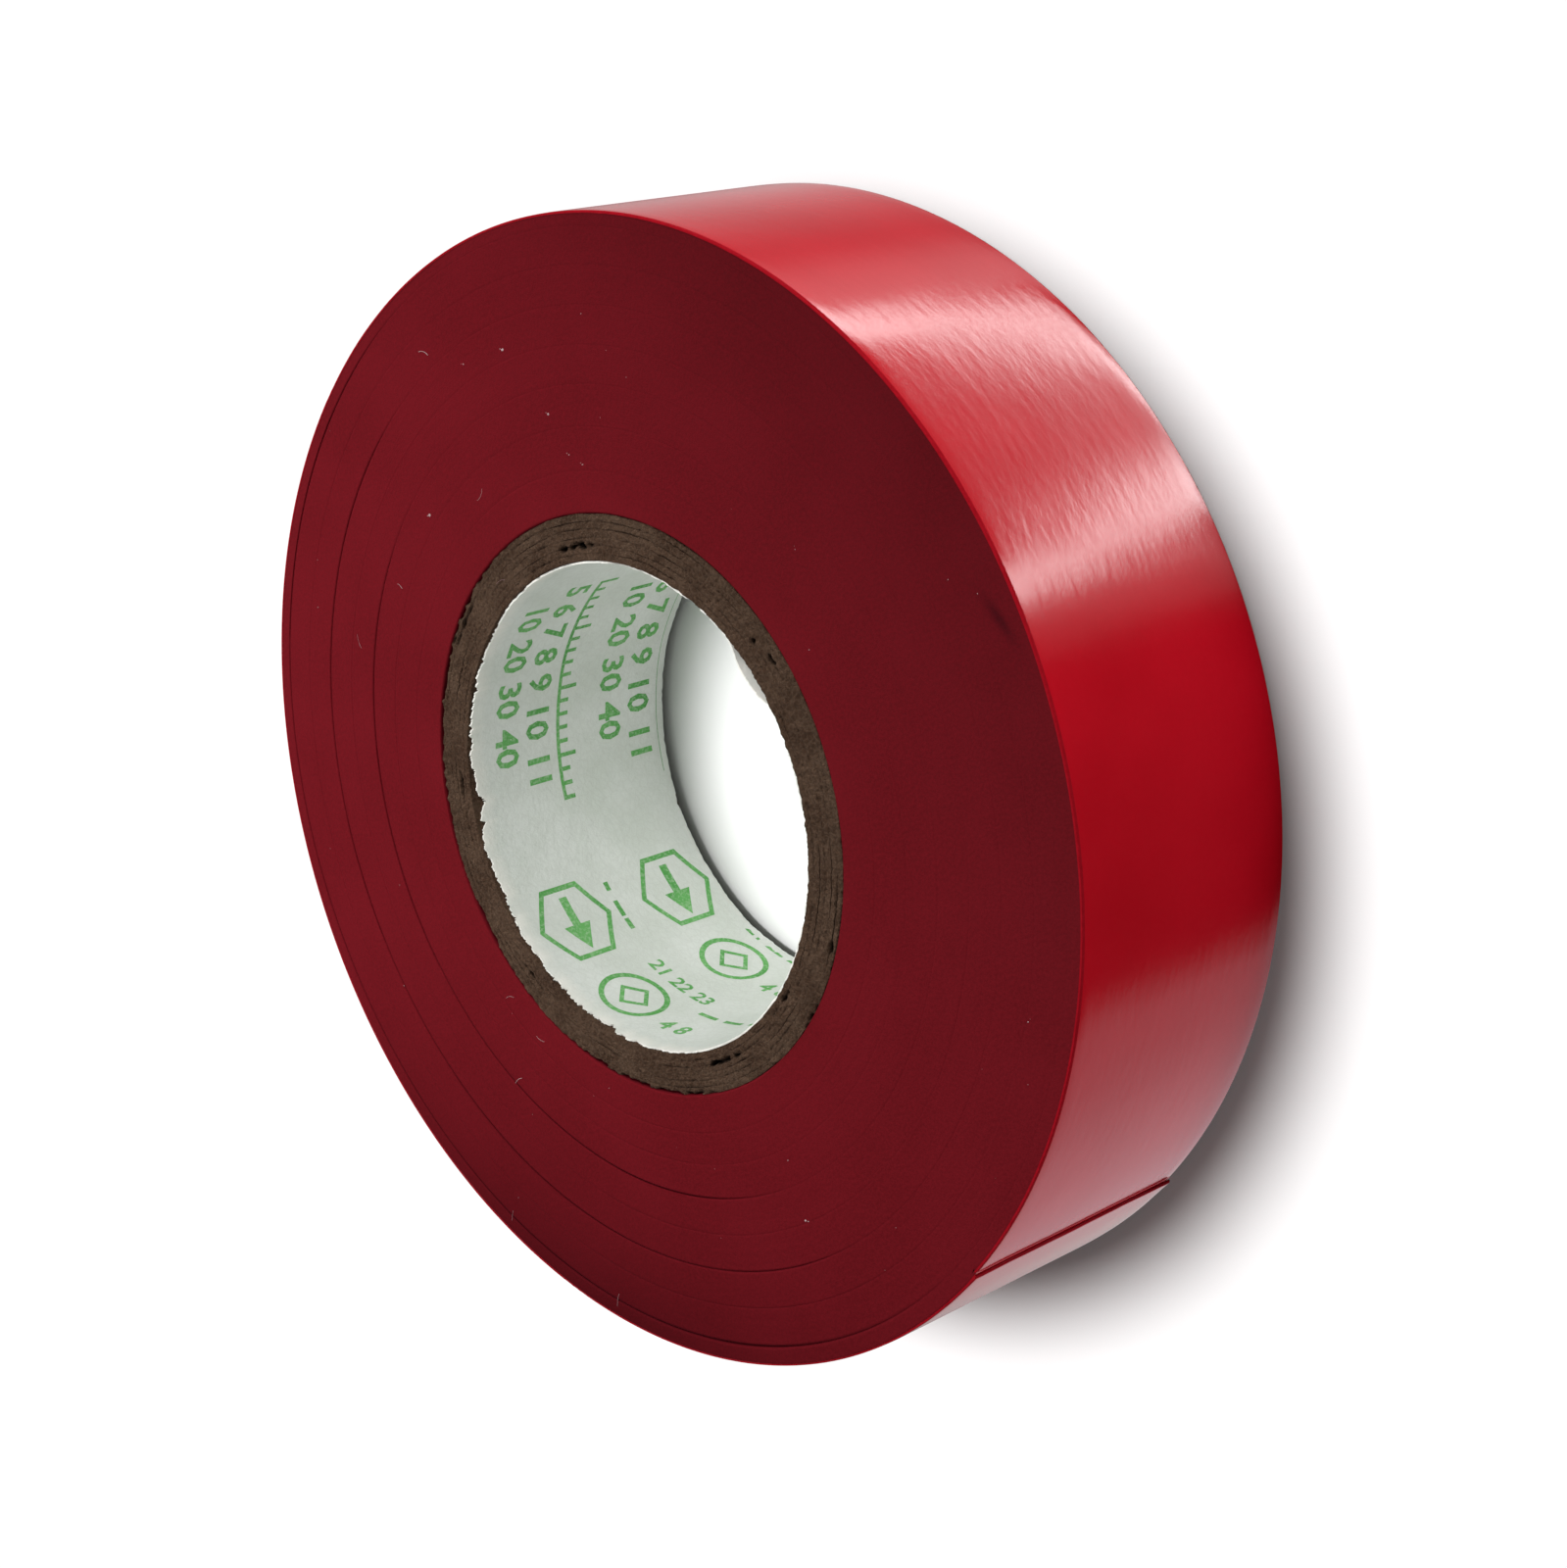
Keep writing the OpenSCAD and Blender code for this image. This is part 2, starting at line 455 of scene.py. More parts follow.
def face_finish():
    material, n, shader, where = new_material("wound edge of the strip", Specular_IOR_Level=0.02)
    grain = use(n, GRAIN, {"Vector": where, "Size": 0.22 * MM, "Cloud size": 9 * MM})
    turns = use(n, TURNS, {"Vector": where, "Pitch": TAPE_T})
    dirt = n.add("ShaderNodeAttribute", attribute_name="dirt").outputs["Fac"]
    red = n.mix(grain["Clouds"], FACE_DEEP, FACE_BRIGHT)
    red = n.mix(n.times(grain["Grain"], 0.62), red, FACE_GRAIN)
    # Painted shade: two broad zones of the face are darkened towards their angle, in place of its sheen
    # falling off
    for angle, power, depth in PAINTED_SHADE_ZONES:
        way = polar(1 / WOUND_R, math.radians(angle), 0)
        out = n.add("ShaderNodeVectorMath", {0: where, 1: way}, operation="DOT_PRODUCT").outputs["Value"]
        out = n.math("POWER", n.math("MAXIMUM", out, 0.0), power)
        red = n.mix(n.times(out, depth), red, FACE_PAINTED_SHADE)
    red = n.mix(n.times(turns["Lines"], 0.22), red, FACE_LINE)
    # Painted shade in the winding marks and the crease
    red = n.mix(dirt, red, FACE_GROOVE_SHADE)
    n.link(red, shader, "Base Color")
    n.link(n.span(grain["Grain"], 0.0, 1.0, 0.62, 0.82), shader, "Roughness")
    cut = bump(n, shader, turns["Lines"], -0.02 * MM, 0.5)
    bump(n, shader, grain["Grain"], 0.03 * MM, 0.55, cut)
    return material


def board_finish():
    material, n, shader, where = new_material("paperboard", Roughness=0.92, Specular_IOR_Level=0.1)
    grain = use(n, GRAIN, {"Vector": where, "Size": 0.18 * MM, "Cloud size": 2.2 * MM})
    fibres = use(n, FIBRES, {"Vector": where, "Size": 0.42 * MM})
    dirt = n.add("ShaderNodeAttribute", attribute_name="dirt").outputs["Fac"]
    brown = n.mix(grain["Clouds"], BOARD_DEEP, BOARD_BRIGHT)
    brown = n.mix(n.times(fibres["Fibres"], 0.32), brown, BOARD_FIBRE)
    brown = n.mix(n.times(grain["Grain"], 0.50), brown, BOARD_GRAIN)
    # Painted shade in the core's splits, darker the deeper they go, and dark open seams
    brown = n.mix(dirt, brown, BOARD_SPLIT_SHADE)
    n.link(brown, shader, "Base Color")
    fluff = bump(n, shader, fibres["Pulp"], 0.18 * MM, 0.8)
    bump(n, shader, grain["Grain"], 0.12 * MM, 0.9, fluff)
    return material


def paper_finish():
    material, n, shader, where = new_material("liner paper", Roughness=0.8, Specular_IOR_Level=0.2)
    fibres = use(n, FIBRES, {"Vector": where, "Size": 0.7 * MM})
    grain = use(n, GRAIN, {"Vector": where, "Size": 0.25 * MM, "Cloud size": 5 * MM})
    dirt = n.add("ShaderNodeAttribute", attribute_name="dirt").outputs["Fac"]
    white = n.mix(grain["Clouds"], PAPER_DEEP, PAPER_BRIGHT)
    white = n.mix(n.times(fibres["Fibres"], 0.14), white, PAPER_FIBRE)
    white = n.mix(dirt, white, PAPER_TORN)
    n.link(white, shader, "Base Color")
    soft = bump(n, shader, fibres["Pulp"], 0.04 * MM, 0.5)
    bump(n, shader, grain["Grain"], 0.02 * MM, 0.5, soft)
    return material


def ink_finish():
    material, n, shader, where = new_material("green ink", Roughness=0.7, Specular_IOR_Level=0.2)
    grain = use(n, GRAIN, {"Vector": where, "Size": 0.22 * MM, "Cloud size": 3 * MM})
    green = n.mix(grain["Clouds"], INK_DEEP, INK_BRIGHT)
    green = n.mix(n.span(grain["Grain"], 0.35, 1.0, 0.0, 0.5), green, INK_THIN)
    n.link(green, shader, "Base Color")
    bump(n, shader, grain["Grain"], 0.02 * MM, 0.4)
    return material


def adhesive_finish():
    material, n, shader, where = new_material("rubber adhesive", IOR=1.47, Coat_Weight=0.25,
                                              Coat_Roughness=0.2)
    grain = use(n, GRAIN, {"Vector": where, "Size": 0.5 * MM, "Cloud size": 6 * MM})
    red = n.mix(grain["Clouds"], ADHESIVE_DEEP, ADHESIVE_BRIGHT)
    n.link(red, shader, "Base Color")
    n.link(n.span(grain["Grain"], 0.0, 1.0, 0.35, 0.55), shader, "Roughness")
    bump(n, shader, grain["Grain"], 0.04 * MM, 0.6)
    return material


def dust_finish():
    material, n, shader, where = new_material("dust and lint", Roughness=0.9)
    grain = use(n, GRAIN, {"Vector": where, "Size": 0.2 * MM, "Cloud size": 10 * MM})
    pale = n.mix(grain["Clouds"], DUST_DEEP, DUST_BRIGHT)
    n.link(pale, shader, "Base Color")
    return material


FILM = film_finish()
EDGE = edge_finish()
FACE = face_finish()
BOARD = board_finish()
PAPER = paper_finish()
INK = ink_finish()
ADHESIVE = adhesive_finish()
DUST = dust_finish()


# ---------------------------------------------------------------- wound bands
# Where the crease lies, where the winding marks are deepest, and which of them are plain to see
CREASE_A = math.radians(6)
CREASE_R = 36.6 * MM
MARK_A = math.radians(-163)
PLAIN_MARKS = (3, 5, 7)


def crease(r, a, length, width):
    """A short slanting dent in the wound face, 1 at its middle, with its half length and width in mm."""
    along = turned(a, CREASE_A) * r / MM
    across = (r - CREASE_R) / MM + 0.30 * along
    return math.exp(-(along / length) ** 2 - (across / width) ** 2)


def mark_depth(i, a):
    """Depth of the winding mark between two bands. Three of them are plain to see, on one side."""
    reach = math.radians(72 + 4 * i)
    plain = 1 - smooth(reach - 0.6, reach, abs(turned(a, MARK_A)))
    broken = 0.8 + 0.5 * noise.noise(Vector((3 * math.cos(a), 3 * math.sin(a), 5.1 * i)))
    deep = 0.17 if i in PLAIN_MARKS else 0.02
    return MM * (0.012 + deep * plain * broken)


def face_drop(r, a):
    """How far a wound face lies below its plane: single turns stand a little high or low, over slow waves."""
    place = polar(r, a, 0) / MM
    turn = round(r / TAPE_T)
    single = 0.016 * noise.noise(Vector((turn * 1.37, 2.2 * math.cos(a), 2.2 * math.sin(a))))
    wave = 0.02 * noise.noise(place * 0.11)
    return FACE_INSET + MM * (single + wave + 0.10 * crease(r, a, 1.5, 0.35))


def band_outline(i):
    """The outline of band i with a point for each turn, and closer ones at its winding marks."""
    low, high = BAND_R[i], BAND_R[i + 1]
    count = round((high - low) / TAPE_T)
    inner = [low, low + MARK_W * 0.5, low + MARK_W]
    outer = [high - MARK_W, high - MARK_W * 0.5, high]
    middle = [low + (high - low) * k / count for k in range(1, count)]
    rows = inner + middle + outer
    return [(r, 0.0) for r in rows] + [(r, ROLL_H) for r in reversed(rows)]


def spiral_step(a):
    """How far the strip beneath the outermost turn steps out, on the half turn up to the cut end."""
    back = turned(a, END_A)
    if back > 0:
        return 0.0
    return 0.98 * HALF_STEP * (1 + math.cos(back))


def bare_wall(mesh, beyond):
    """Makes the outer wall of the last band plain film, which shows when the free end is peeled."""
    mesh.materials.append(FILM)
    for face in mesh.polygons:
        outward = face.normal.x * face.center.x + face.normal.y * face.center.y
        face.material_index = int(outward > beyond)


def band(i):
    """A group of wound turns. The last one follows the spiral's step, under the free end."""
    low, high = BAND_R[i], BAND_R[i + 1]
    last = i == BAND_COUNT - 1
    at_core = 0.14 * MM
    darkest = 0.29 * MM

    def at_mark(r, a):
        """How far the face falls away at the band's two edges."""
        outer = 0 if last else mark_depth(i + 1, a) * max(0.0, 1 - (high - r) / MARK_W)
        inner = (mark_depth(i, a) if i else at_core) * max(0.0, 1 - (r - low) / MARK_W)
        return max(outer, inner)

    def move(r, a, z):
        drop = face_drop(r, a) + at_mark(r, a)
        z = z - drop if z > ROLL_H / 2 else z + drop * 0.7
        follow = spiral_step(a) * smooth(low, high, r) if last else 0.0
        return r + off_centre(r, a) + follow, a, z

    # Painted shade in the winding marks and the crease: darker the deeper the face falls away there
    def dirt(r, a, z):
        r -= off_centre(r, a)
        return min(0.85, at_mark(r, a) / darkest + 0.6 * crease(r, a, 1.4, 0.4))

    bm = spun(band_outline(i), BAND_STEPS)
    reshape(bm, move)
    piece = make_piece(bm, f"wound_band_{i + 1}", FACE, "tape_face", "roll", [f"turn_band_{i + 1}"], 60, dirt)
    if last:
        bare_wall(piece.data, low / 2)


# ---------------------------------------------------------------- outermost turn and free end
# How far back the skin of the film is cut from its underside, at the free end
CUT_SLANT = 0.24 * MM
# The free end's adhesive starts this far above the turn below, so the two don't rub
TAIL_GAP = 0.03 * MM


def strip_layers(gap):
    """The two layers of the strip: name, depths from and to, material and slot."""
    return (("adhesive", gap, ADHESIVE_T, ADHESIVE, "adhesive"),
            ("film", ADHESIVE_T, TAPE_T, FILM, "tape_film"))


def strip_outline(from_r, to_r):
    """The cross-section of a layer of the strip, with a rounded upper edge."""
    soft = min(RIM_ROUND, (to_r - from_r) * 0.5)
    crisp = 0.01 * MM
    close = [0, 0.003, 0.008, 0.016, 0.03, 0.05]
    share = close + [k / 20 for k in range(2, 19)] + [1 - part for part in reversed(close)]
    heights = [RIM_ROUND + (ROLL_H - 2 * RIM_ROUND) * part for part in share]
    outer = [(to_r - crisp, 0.0), (to_r, crisp)]
    outer += [(to_r, z) for z in heights]
    outer += [(to_r - soft * 0.3, ROLL_H - soft * 0.3), (to_r - soft, ROLL_H)]
    return [(from_r, 0.0)] + outer + [(from_r, ROLL_H)]


def strip_skin(a, z):
    """How far the film strays from flat: faint ripples along the strip, and both edges curl in a little."""
    long = noise.noise(Vector((a * 9, z / MM * 0.25, 3.0)))
    short = noise.noise(Vector((a * 36, z / MM * 0.15, 9.0)))
    top = max(0.0, 1 - (ROLL_H - z) / (0.8 * MM))
    bottom = max(0.0, 1 - z / (1.1 * MM))
    return MM * (0.006 * long + 0.002 * short - 0.01 - 0.030 * top ** 2 - 0.034 * bottom ** 2)


def strip_arc(from_t, to_t, slot, start, sweep, half=True, move=None):
    """A stretch of the outermost turn between two depths of the strip. Its second half lies on a spiral."""
    base = HALF_R if half else WOUND_R
    centre = SPIRAL_CENTRE if half else Vector()
    steps = max(6, round(math.degrees(sweep) * 2))
    bm = spun(strip_outline(base + from_t, base + to_t), steps, start, sweep, centre)

    def skinned(r, a, z):
        outside = slot == "tape_film" and r > base + to_t - RIM_ROUND
        return (r + strip_skin(a, z) if outside else r), a, z

    reshape(bm, skinned, centre)
    if move:
        reshape(bm, move, centre)
    return bm


def last_turn():
    """The part of the outermost turn that stays stuck down."""
    for layer, from_t, to_t, material, slot in strip_layers(0.0):
        bm = strip_arc(from_t, to_t, slot, END_A, math.pi, half=False)
        make_piece(bm, f"outer_turn_{layer}_a", material, slot, "roll", [f"last_turn_{layer}"])
        bm = strip_arc(from_t, to_t, slot, END_A + math.pi, math.pi - TAIL_A)
        make_piece(bm, f"outer_turn_{layer}_b", material, slot, "roll", [f"last_turn_{layer}"])


def cut_end(r, a, z):
    """The cut end is slanted, wavers across the strip, stands off a little and has one lifted corner."""
    near = 1 - smooth(0.0, STRETCH_A * 0.45, abs(turned(END_A, a)))
    waver = 0.10 * noise.noise(Vector((z / MM * 0.35, 2.0, 7.0)))
    waver += 0.04 * noise.noise(Vector((z / MM * 1.3, 5.0, 1.0)))
    corner = math.exp(-((z / MM - 0.1) / 0.35) ** 2)
    depth = (r - HALF_R) / TAPE_T
    a += near ** 6 * MM * (waver - 0.12) / r - near ** 40 * CUT_SLANT * depth / r
    lift = MM * (0.03 * near ** 3 + 0.05 * corner * near ** 6)
    if depth < 0.2:
        lift -= 0.07 * MM * near ** 6
    return r + lift, a, z


def free_end():
    """Pieces run from the middle of one stretch to the middle of the next, so each spans one hinge."""
    start = END_A + math.tau - TAIL_A
    for k in range(TAIL_COUNT + 1):
        tip = k == TAIL_COUNT
        sweep = STRETCH_A / 2 if tip else STRETCH_A
        for layer, from_t, to_t, material, slot in strip_layers(TAIL_GAP):
            move = cut_end if k >= TAIL_COUNT - 1 else None
            bm = strip_arc(from_t, to_t, slot, start + k * STRETCH_A, sweep, move=move)
            if tip:
                make_piece(bm, f"tail_{layer}_tip", material, slot, f"tail_{k}", [f"tail_{layer}_{k}"])
                continue
            piece = make_piece(bm, f"tail_{layer}_{k + 1}_bend", material, slot)
            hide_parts(f"tail_{layer}_{k + 1}")
            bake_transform(piece)


# ---------------------------------------------------------------- core
# Places where the plies have come apart: ply edge, angle in degrees, half length and depth in mm
SPLITS = [(6, -165, 1.3, 1.6), (6, -112, 6.0, 0.9), (6, -56, 1.0, 0.9), (2, -86, 1.6, 1.0), (2, 83, 1.5, 1.4),
          (4, 19, 0.35, 0.9), (3, 25, 0.2, 0.6), (2, 165, 0.9, 0.7), (5, 128, 2.0, 0.4), (6, 140, 9.0, 0.6),
          (3, -150, 0.8, 0.5), (5, -40, 0.5, 0.5), (1, -58, 0.5, 0.5)]
# Half width of a split, and the depth from which its painted shade is full, in mm
SPLIT_W = 0.13
SPLIT_DARK = 0.45


def core_drop(r, a):
    """How far the fibrous end of the core lies below its plane, and how much painted shade lies there, full
    in deep splits.
    """
    place = polar(r, a, 0) / MM
    rough = 0.10 + 0.10 * noise.fractal(place * 2.3, 1.0, 2.0, 4) + 0.04 * noise.noise(place * 8.0)
    pit = 0.0
    for edge, split_a, length, depth in SPLITS:
        along = turned(a, math.radians(split_a)) * r / MM
        if abs(along) > 2 * length:
            continue
        across = (r - PLY_R[edge]) / MM + 0.10 * noise.noise(place * 1.9)
        broken = min(1.0, max(0.0, 0.55 + 1.7 * noise.noise(place * 1.6 + Vector((0, 0, 4)))))
        pit = max(pit, depth * broken * math.exp(-(along / length) ** 4 - (across / SPLIT_W) ** 2))
    return MM * (max(0.0, rough) + pit), min(1.0, pit / SPLIT_DARK)


def ply(i):
    """One board ply of the core, with open seams, pits and a frayed outer side."""
    low, high = PLY_R[i], PLY_R[i + 1]
    rows = [low + (high - low) * k / 5 for k in range(6)]
    seam_w = 0.05 * MM

    def seam(r, a):
        """Where one ply meets the next, and how open the seam is there."""
        near = math.exp(-((r - low) / seam_w) ** 2) + math.exp(-((high - r) / seam_w) ** 2)
        return near * max(0.0, 0.15 + 0.9 * noise.noise(Vector((4 * math.cos(a), 4 * math.sin(a), 2.0 * i))))

    def frayed(r, a):
        """How far the ply's outer side strays."""
        wobble = noise.noise(Vector((9 * math.cos(a), 9 * math.sin(a), 4.0 * i))) - 0.2
        return 0.06 * MM * wobble * smooth(low, high, r)

    def move(r, a, z):
        drop = core_drop(r, a)[0] + MM * 0.12 * seam(r, a)
        z = z - drop if z > ROLL_H / 2 else z + drop * 0.6
        return r + off_centre(r, a) + frayed(r, a), a, z

    # Painted shade in the splits, darker the deeper they go, and dark open seams
    def dirt(r, a, z):
        r -= off_centre(r, a)
        return min(1.0, core_drop(r, a)[1] + 0.5 * seam(r, a))

    outline = [(r, CORE_LOW) for r in rows] + [(r, ROLL_H) for r in reversed(rows)]
    bm = spun(outline, PLY_STEPS)
    reshape(bm, move)
    make_piece(bm, f"board_ply_{i + 1}", BOARD, "core_board", "roll", [f"core_ply_{i + 1}"], 60, dirt)


# ---------------------------------------------------------------- liner and its print
# Height of the figures, distance between two rows of print, and where the print begins
FIGURE = 2.8 * MM
PRINT_PITCH = 9.6 * MM
PRINT_BEGIN = math.radians(98)
# How much bolder than plain a figure is drawn, as a share of its height
FIGURE_BOLD = 0.024
# Where a torn flap stands off the board, and its half width
FLAP_A = math.radians(20)
FLAP_W = math.radians(7)


def torn(a, seed):
    """How far the paper is torn back from its nominal end, in metres."""
    far = 0.35 + 0.65 * smooth(-0.2, 0.9, -math.cos(a - math.radians(10)))
    coarse = abs(noise.noise(Vector((2.6 * math.cos(a), 2.6 * math.sin(a), seed))))
    notch = max(0.0, noise.noise(Vector((9 * math.cos(a), 9 * math.sin(a), seed + 2))) - 0.15)
    fine = abs(noise.noise(Vector((26 * math.cos(a), 26 * math.sin(a), seed + 3))))
    fuzz = abs(noise.noise(Vector((110 * math.cos(a), 110 * math.sin(a), seed + 6))))
    return MM * far * (0.6 * coarse + 1.2 * notch + 0.5 * fine + 0.34 * fuzz)


def liner_top(a):
    return LINER_HIGH + 0.2 * MM - torn(a, 1.0)


def liner_bottom(a):
    return LINER_LOW - 0.25 * MM + 0.25 * torn(a, 20.0)


def liner_wave(a, z):
    """How far the paper's wall strays outwards: it lies in slow waves, and a torn flap stands off inwards."""
    lie = 0.05 * (noise.noise(Vector((4 * math.cos(a), 4 * math.sin(a), z / MM * 0.12))) - 0.6)
    flap = math.exp(-(turned(a, FLAP_A) / FLAP_W) ** 4) * smooth(15 * MM, 18.7 * MM, z)
    return MM * (lie - 0.7 * flap)


def liner():
    """The paper liner, torn at both ends."""
    rows = 14
    outline = [(BORE_R, LINER_LOW + (LINER_HIGH - LINER_LOW) * k / rows) for k in range(rows + 1)]
    outline += [(BOARD_R, z) for r, z in reversed(outline)]

    def move(r, a, z):
        share = (z - LINER_LOW) / (LINER_HIGH - LINER_LOW)
        bottom = liner_bottom(a)
        z = bottom + (liner_top(a) - bottom) * share
        return r + off_centre(r, a) + liner_wave(a, z), a, z

    def dirt(r, a, z):
        """Pale fluff at the torn end."""
        fluffy = 0.75 + 0.7 * noise.noise(Vector((14 * math.cos(a), 14 * math.sin(a), 8.0)))
        return min(1.0, max(0.0, fluffy)) * (1 - smooth(0.1 * MM, 0.6 * MM, liner_top(a) - z))

    bm = spun(outline, LINER_STEPS)
    reshape(bm, move)
    make_piece(bm, "printed_liner", PAPER, "liner_paper", "roll", ["liner"], 50, dirt)


def flat_text(bm, body, size, x, y):
    """Adds a plain figure, drawn flat, with its lower left corner at x, y."""
    curve = bpy.data.curves.new("figure", "FONT")
    curve.body = body
    curve.size = size
    curve.offset = size * FIGURE_BOLD
    curve.resolution_u = 2
    holder = bpy.data.objects.new("figure", curve)
    bpy.context.scene.collection.objects.link(holder)
    mesh = bpy.data.meshes.new_from_object(holder)
    mesh.transform(Matrix.Translation((x, y, 0)))
    bm.from_mesh(mesh)
    bpy.data.objects.remove(holder)
    bpy.data.curves.remove(curve)
    bpy.data.meshes.remove(mesh)


def flat_bar(bm, x, y, width, height):
    """A plain bar with its lower left corner at x, y."""
    corners = bmesh.ops.create_grid(bm, x_segments=1, y_segments=1, size=0.5)["verts"]
    bmesh.ops.scale(bm, vec=(width, height, 1), verts=corners)
    bmesh.ops.translate(bm, vec=(x + width / 2, y + height / 2, 0), verts=corners)


def flat_ring(bm, x, y, radius, width, sides):
    """A thin outline with so many sides."""
    outer = bmesh.ops.create_circle(bm, segments=sides, radius=radius)["verts"]
    edges = list({e for v in outer for e in v.link_edges})
    made = bmesh.ops.extrude_edge_only(bm, edges=edges)["geom"]
    inner = [v for v in made if isinstance(v, bmesh.types.BMVert)]
    bmesh.ops.scale(bm, vec=(1 - width / radius, 1 - width / radius, 1), verts=inner)
    bmesh.ops.translate(bm, vec=(x, y, 0), verts=outer + inner)


def flat_arrow(bm, x, y, size):
    """A plain arrow for the way the strip unwinds."""
    flat_bar(bm, x, y - size * 0.09, size * 0.62, size * 0.18)
    tip = bmesh.ops.create_circle(bm, cap_ends=True, segments=3, radius=size * 0.36)["verts"]
    bmesh.ops.rotate(bm, cent=(0, 0, 0), matrix=Matrix.Rotation(-math.pi / 2, 3, "Z"), verts=tip)
    bmesh.ops.translate(bm, vec=(x + size * 0.75, y, 0), verts=tip)


def print_block(bm, x, y):
    """One repeat of the print: two rows of plain figures, a scale, and two emblems with dashes."""
    fine, line, bold = 0.3 * MM, 0.4 * MM, 0.44 * MM
    flat_text(bm, "10 20 30 40", FIGURE, x + 2.0 * MM, y + 1.7 * MM)
    flat_text(bm, "5 6 7 8 9 10 11", FIGURE, x + 0.4 * MM, y + 4.5 * MM)
    for k in range(19):
        tall = 1.5 if k % 5 == 0 else 0.85
        flat_bar(bm, x + (0.5 + k) * MM, y + 7.4 * MM, fine, tall * MM)
    flat_bar(bm, x + 0.5 * MM, y + 7.2 * MM, 18.3 * MM, fine)
    flat_ring(bm, x + 27.2 * MM, y + 4.0 * MM, 3.3 * MM, bold, 6)
    flat_arrow(bm, x + 25.2 * MM, y + 4.0 * MM, 3.8 * MM)
    for k, width in enumerate((0.9, 1.7, 1.2)):
        flat_bar(bm, x + (25.1 + 1.5 * k) * MM, y + 7.9 * MM, width * 0.75 * MM, line)
    flat_ring(bm, x + 34.4 * MM, y + 3.6 * MM, 2.5 * MM, line, 32)
    flat_ring(bm, x + 34.4 * MM, y + 3.6 * MM, 1.4 * MM, bold, 4)
    flat_text(bm, "4 8", FIGURE * 0.7, x + 38.0 * MM, y + 2.2 * MM)
    flat_text(bm, "21 22 23", FIGURE * 0.6, x + 32.0 * MM, y + 7.0 * MM)
    for k in range(4):
        flat_bar(bm, x + (38.6 + 2.4 * k) * MM, y + 5.6 * MM, 1.7 * MM, 0.42 * MM)


def liner_print():
    """The green print on the liner, drawn flat, then wrapped round the bore."""
    bm = bmesh.new()
    around = math.tau * BORE_R
    for row in range(-1, 2):
        for block in range(2):
            print_block(bm, around * (block + 0.02) / 2 + 2.2 * MM, row * PRINT_PITCH)
    bmesh.ops.triangulate(bm, faces=bm.faces)
    low, high = LINER_LOW + 0.4 * MM, LINER_HIGH - 0.55 * MM
    ink_t = 0.006 * MM
    slices = 280
    for k in range(slices):
        bmesh.ops.bisect_plane(bm, geom=bm.verts[:] + bm.edges[:] + bm.faces[:], dist=1e-7,
                               plane_co=(around * k / slices, 0, 0), plane_no=(1, 0, 0))
    for edge, way in ((0.0, -1), (high - low, 1)):
        bmesh.ops.bisect_plane(bm, geom=bm.verts[:] + bm.edges[:] + bm.faces[:], dist=1e-7,
                               plane_co=(0, edge, 0), plane_no=(0, way, 0), clear_outer=True)
    for v in bm.verts:
        a = PRINT_BEGIN + v.co.x / BORE_R
        z = high - v.co.y
        r = BORE_R + off_centre(BORE_R, a) + liner_wave(a, z) - ink_t
        v.co = polar(r, a, z)
    make_piece(bm, "liner_print", INK, "liner_paper", "roll")


# ---------------------------------------------------------------- dust
# The larger specks: angle in degrees, distance out and size in mm
SPECKS = ((-81, 29.4, 0.11), (88, 30.8, 0.12), (96, 31.3, 0.07), (82, 25.9, 0.09), (117, 25.7, 0.10),
          (76, 22.4, 0.05), (79, 23.1, 0.06), (28, 25.0, 0.05), (-33, 34.9, 0.06))
SMALL_SPECK_COUNT = 30
HAIR_COUNT = 9


def speck(bm, a, r, size):
    """A flat grain of dust on the face."""
    made = bmesh.ops.create_icosphere(bm, subdivisions=1, radius=size)["verts"]
    bmesh.ops.scale(bm, vec=(random.uniform(0.6, 1.8), random.uniform(0.6, 1.2), 0.35), verts=made)
    bmesh.ops.translate(bm, vec=polar(r, a, ROLL_H - FACE_INSET), verts=made)


def hair(bm, a, r, length):
    """A thin bent fibre, lying on the face."""
    turn = random.uniform(0, math.pi)
    bend = random.choice((-1, 1)) * random.uniform(0.3, 1.2)
    thick = random.uniform(0.009, 0.014) * MM
    ring = bmesh.ops.create_circle(bm, segments=5, radius=thick)["verts"]
    bmesh.ops.rotate(bm, cent=(0, 0, 0), matrix=Matrix.Rotation(math.pi / 2, 3, "Y"), verts=ring)
    bmesh.ops.rotate(bm, cent=(0, 0, 0), matrix=Matrix.Rotation(turn, 3, "Z"), verts=ring)
    place = polar(r, a, ROLL_H - FACE_INSET + thick)
    bmesh.ops.translate(bm, vec=place, verts=ring)
    pivot = place + Vector((-math.sin(turn), math.cos(turn), 0)) * length / bend
    edges = list({e for v in ring for e in v.link_edges})
    bmesh.ops.spin(bm, geom=ring + edges, cent=pivot, axis=(0, 0, 1), angle=bend, steps=6)


def dust():
    """A few specks and hairs of lint on the upper face."""
    bm = bmesh.new()
    for angle, r, size in SPECKS:
        speck(bm, math.radians(angle), r * MM, size * MM)
        speck(bm, math.radians(angle + 0.4), (r + 0.12) * MM, size * 0.5 * MM)
    for k in range(SMALL_SPECK_COUNT):
        a = random.uniform(-math.pi, math.pi)
        r = random.uniform(21, 38) * MM
        speck(bm, a, r, random.uniform(0.025, 0.04) * MM)
    for k in range(HAIR_COUNT):
        a = random.uniform(1.6, 4.4)
        r = random.uniform(20.5, 38) * MM
        hair(bm, a, r, random.uniform(0.4, 1.1) * MM)
    hair(bm, math.radians(112), 18.1 * MM, 1.0 * MM)
    bmesh.ops.holes_fill(bm, edges=[e for e in bm.edges if e.is_boundary], sides=8)
    bmesh.ops.recalc_face_normals(bm, faces=bm.faces)
    for v in bm.verts:
        v.co.z = min(v.co.z, ROLL_H)
    make_piece(bm, "dust_and_lint", DUST, "liner_paper", "roll")


